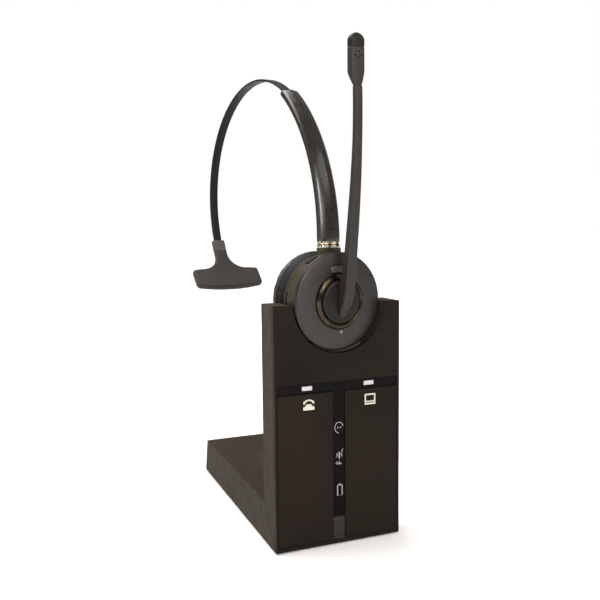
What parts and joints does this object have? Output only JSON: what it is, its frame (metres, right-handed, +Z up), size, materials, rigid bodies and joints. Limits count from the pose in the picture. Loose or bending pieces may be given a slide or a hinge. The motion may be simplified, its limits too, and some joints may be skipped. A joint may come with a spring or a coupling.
{
  "type": "docked wireless headset",
  "caption": "Single-ear wireless office headset with a boom microphone, standing in an L-shaped charging base with large front keys.",
  "frame": {"origin": "on the desk, centre of the front foot pad, under the tower's mid-plane", "axes": "+Z up, +X to the right as seen from the front, +Y from the tower to the rear of the foot"},
  "size_m": [0.0876, 0.2015, 0.2922],
  "materials": {
    "base_front": "fine matte texture, dark warm black",
    "base_side": "fine matte texture, dark warm black",
    "black_gloss": "polished black",
    "window_white": "milky white light window",
    "inner_plastic": "plain moulded black",
    "foot_rubber": "soft black",
    "plain_steel": "zinc plated",
    "gold_contact": "gold plated contact",
    "circuit_board": "green solder mask",
    "cable_jacket": "flat ribbon cable",
    "cup_plastic": "fine satin texture, dark grey",
    "button_plastic": "satin black",
    "bezel_metal": "dark smoked chrome",
    "collar_chrome": "bright chrome",
    "cell_wrap": "wrapped lithium cell",
    "ring_plastic": "satin blue grey",
    "speaker_cloth": "thin black cloth",
    "pad_leather": "soft leatherette, wrinkled",
    "boom_plastic": "satin black",
    "band_plastic": "satin to gloss black",
    "strip_black": "black coated spring steel",
    "tbar_rubber": "soft matte black"
  },
  "bodies": {
    "base": {"front_cover": "base_front", "tower_shell": "base_side", "foot_shell": "base_side", "bottom_cover": "inner_plastic", "button_frame": "inner_plastic", "gloss_trim": "black_gloss", "strip_insert": "base_front", "led_windows": "window_white", "contact_block": "inner_plastic", "pin_barrels": "gold_contact", "base_board": "circuit_board", "key_switches": "inner_plastic", "signal_leds": "window_white", "antenna": "plain_steel", "jack_board": "circuit_board", "power_jack": "inner_plastic", "usb_jack": "plain_steel", "phone_jacks": "inner_plastic", "board_cable": "cable_jacket", "ballast_plate": "plain_steel", "foot_pads": "foot_rubber", "case_screws": "plain_steel"},
    "phone_key": {"phone_key": "base_front"},
    "computer_key": {"computer_key": "base_front"},
    "charge_pin_left": {"charge_pin_left": "gold_contact"},
    "charge_pin_right": {"charge_pin_right": "gold_contact"},
    "ear_cup": {"ear_cap": "cup_plastic", "cup_shell": "base_side", "bezel_ring": "bezel_metal", "status_lens": "window_white", "headset_board": "circuit_board", "battery": "cell_wrap", "speaker_driver": "plain_steel", "speaker_baffle": "ring_plastic", "acoustic_cloth": "speaker_cloth", "ear_cushion": "pad_leather", "contact_pads": "gold_contact", "cup_screws": "plain_steel", "swivel_pin": "plain_steel"},
    "call_button": {"call_button": "button_plastic"},
    "volume_up": {"volume_up_button": "button_plastic"},
    "volume_down": {"volume_down_button": "button_plastic"},
    "boom": {"boom_hub": "button_plastic", "boom_axle": "plain_steel", "boom_clip": "plain_steel", "boom_arm": "boom_plastic", "boom_ribs": "foot_rubber", "mic_housing": "boom_plastic", "mic_tip": "button_plastic", "mic_capsule": "plain_steel"},
    "band_sleeve": {"collar_ring": "collar_chrome", "sleeve_outer": "band_plastic", "sleeve_inner": "base_side", "sleeve_screws": "plain_steel"},
    "headband": {"headband_strip": "strip_black", "tbar_clip": "ring_plastic", "tbar_plate": "plain_steel", "tbar_pad": "tbar_rubber"}
  },
  "joints": [
    {"name": "headset_lift", "type": "slide", "parent": "base", "child": "ear_cup", "axis": [0, 0, 1], "range_m": [0, 0.06]},
    {"name": "boom_turn", "type": "hinge", "parent": "ear_cup", "child": "boom", "pos_m": [0, 0, 0.1454], "axis": [-0.1392, 0.9903, 0], "range_deg": [-150, 150]},
    {"name": "band_swivel", "type": "hinge", "parent": "ear_cup", "child": "band_sleeve", "pos_m": [-0.00029, 0.00208, 0.18], "axis": [0, 0, 1], "range_deg": [-45, 45]},
    {"name": "band_size", "type": "hinge", "parent": "band_sleeve", "child": "headband", "pos_m": [-0.01307, 0.09299, 0.2086], "axis": [-0.9903, -0.1392, 0], "range_deg": [0, 14]},
    {"name": "call_press", "type": "slide", "parent": "ear_cup", "child": "call_button", "axis": [-0.1392, 0.9903, 0], "range_m": [0, 0.0008], "stiffness_N_per_m": 900, "springref_m": -0.0008},
    {"name": "volume_up_press", "type": "slide", "parent": "ear_cup", "child": "volume_up", "axis": [0.51, 0.0717, -0.8572], "range_m": [0, 0.0006], "stiffness_N_per_m": 900, "springref_m": -0.0008},
    {"name": "volume_down_press", "type": "slide", "parent": "ear_cup", "child": "volume_down", "axis": [-0.51, -0.0717, -0.8572], "range_m": [0, 0.0006], "stiffness_N_per_m": 900, "springref_m": -0.0008},
    {"name": "phone_key_press", "type": "hinge", "parent": "base", "child": "phone_key", "pos_m": [0, -0.0096, 0.005], "axis": [-1, 0, 0], "range_deg": [0, 0.5], "stiffness_Nm_per_rad": 8, "springref_deg": -0.34},
    {"name": "computer_key_press", "type": "hinge", "parent": "base", "child": "computer_key", "pos_m": [0, -0.0096, 0.005], "axis": [-1, 0, 0], "range_deg": [0, 0.5], "stiffness_Nm_per_rad": 8, "springref_deg": -0.34},
    {"name": "charge_pin_left_press", "type": "slide", "parent": "base", "child": "charge_pin_left", "axis": [0, 0, -1], "range_m": [0, 0.0012], "stiffness_N_per_m": 300, "springref_m": -0.001},
    {"name": "charge_pin_right_press", "type": "slide", "parent": "base", "child": "charge_pin_right", "axis": [0, 0, -1], "range_m": [0, 0.0012], "stiffness_N_per_m": 300, "springref_m": -0.001}
  ]
}
